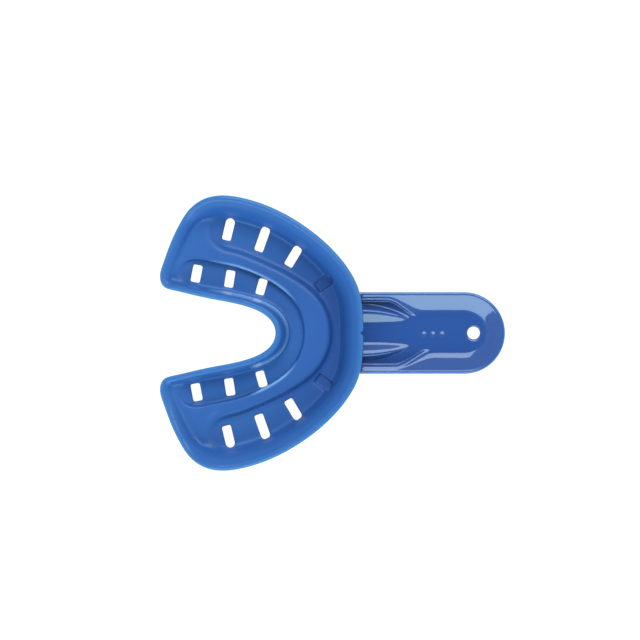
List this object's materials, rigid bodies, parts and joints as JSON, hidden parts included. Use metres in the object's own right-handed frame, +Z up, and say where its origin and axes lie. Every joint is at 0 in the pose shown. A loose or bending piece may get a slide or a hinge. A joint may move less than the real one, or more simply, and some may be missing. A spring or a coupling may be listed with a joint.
{
  "type": "dental impression tray",
  "caption": "Perforated lower-arch impression tray: a horseshoe trough with flared walls, a raised band and two slotted grooves, on a shallow spoon-shaped handle with a hanging hole.",
  "frame": {"origin": "centre of the footprint, on the surface the tray rests on", "axes": "+X runs out along the handle, +Y to the left arm, +Z up out of the trough"},
  "size_m": [0.0984, 0.0778, 0.0137],
  "materials": {
    "blue_plastic": "gloss"
  },
  "bodies": {
    "root": {"occlusal_plate": "blue_plastic", "outer_groove_floor": "blue_plastic", "inner_groove_floor": "blue_plastic", "outer_flange": "blue_plastic", "outer_rim_bead": "blue_plastic", "inner_flange": "blue_plastic", "inner_rim_bead": "blue_plastic", "left_heel_rim": "blue_plastic", "right_heel_rim": "blue_plastic", "handle_floor": "blue_plastic", "handle_side_wall": "blue_plastic", "left_handle_rib": "blue_plastic", "right_handle_rib": "blue_plastic", "size_pips": "blue_plastic"}
  },
  "joints": []
}
